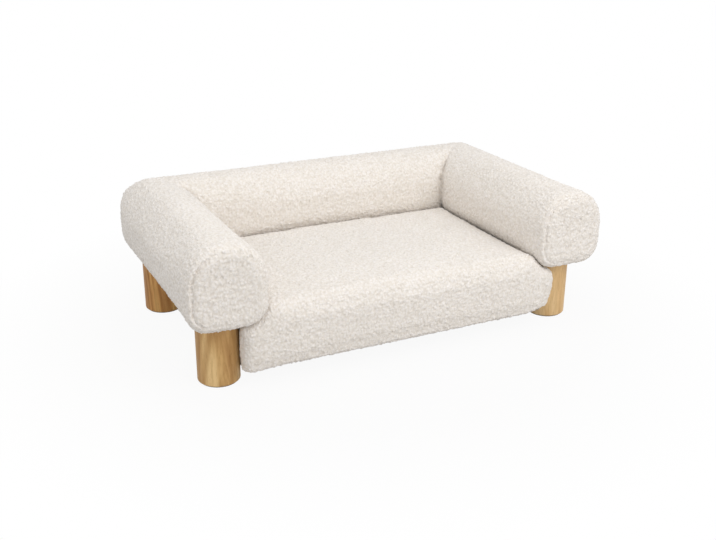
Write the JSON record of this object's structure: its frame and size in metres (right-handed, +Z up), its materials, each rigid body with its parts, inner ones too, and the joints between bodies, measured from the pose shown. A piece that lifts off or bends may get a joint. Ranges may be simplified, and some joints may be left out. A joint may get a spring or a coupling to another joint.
{
  "type": "dog sofa bed",
  "caption": "Low dog sofa with round padded arms and back in a U, a thick seat cushion that slides out, and round wooden legs.",
  "frame": {"origin": "centre of the bounding box at floor level, under the middle of the sofa", "axes": "+X along the width, to the right as seen from the front, +Y to the back, +Z up"},
  "size_m": [0.8, 0.474, 0.256],
  "materials": {
    "boucle": "matte",
    "foam": "matte",
    "leg_wood": "satin",
    "plywood": "matte",
    "zinc_steel": "satin",
    "zip_metal": "satin",
    "dust_cloth": "matte",
    "felt": "matte",
    "zip_tape": "matte",
    "zip_coil": "satin",
    "base_cloth": "matte"
  },
  "bodies": {
    "frame": {"left_arm_board": "plywood", "left_arm_ribs": "plywood", "left_arm_rails": "plywood", "left_arm_foam": "foam", "left_arm_cover": "boucle", "left_arm_end_panel": "boucle", "left_side_panel": "plywood", "left_side_cover": "boucle", "right_arm_board": "plywood", "right_arm_ribs": "plywood", "right_arm_rails": "plywood", "right_arm_foam": "foam", "right_arm_cover": "boucle", "right_arm_end_panel": "boucle", "right_side_panel": "plywood", "right_side_cover": "boucle", "back_board": "plywood", "back_ribs": "plywood", "back_rails": "plywood", "back_foam": "foam", "back_cover": "boucle", "corner_plates": "zinc_steel", "plate_screws": "zinc_steel", "deck_board": "plywood", "deck_front_cover": "boucle", "rear_rail": "plywood", "rear_rail_cover": "boucle", "dust_cover": "dust_cloth", "hanger_screws": "zinc_steel", "deck_screws": "zinc_steel", "front_left_leg": "leg_wood", "rear_left_leg": "leg_wood", "front_right_leg": "leg_wood", "rear_right_leg": "leg_wood", "leg_pads": "felt", "leg_bolts": "zinc_steel", "tee_nuts": "zinc_steel"},
    "cushion": {"seat_foam": "foam", "seat_cover": "boucle", "seat_under_panel": "base_cloth", "zip_tapes": "zip_tape", "zip_coil": "zip_coil", "zip_stops": "zip_metal"},
    "zip_slider": {"zip_slider": "zip_metal"},
    "zip_pull": {"zip_pull": "zip_metal"}
  },
  "joints": [
    {"name": "cushion_slide", "type": "slide", "parent": "frame", "child": "cushion", "axis": [0, -1, 0], "range_m": [0, 0.41]},
    {"name": "zip_run", "type": "slide", "parent": "cushion", "child": "zip_slider", "axis": [-1, 0, 0], "range_m": [0, 0.52]},
    {"name": "zip_pull_flip", "type": "hinge", "parent": "zip_slider", "child": "zip_pull", "pos_m": [0.2612, 0.1551, 0.066], "axis": [0, 0, -1], "range_deg": [0, 178]}
  ]
}
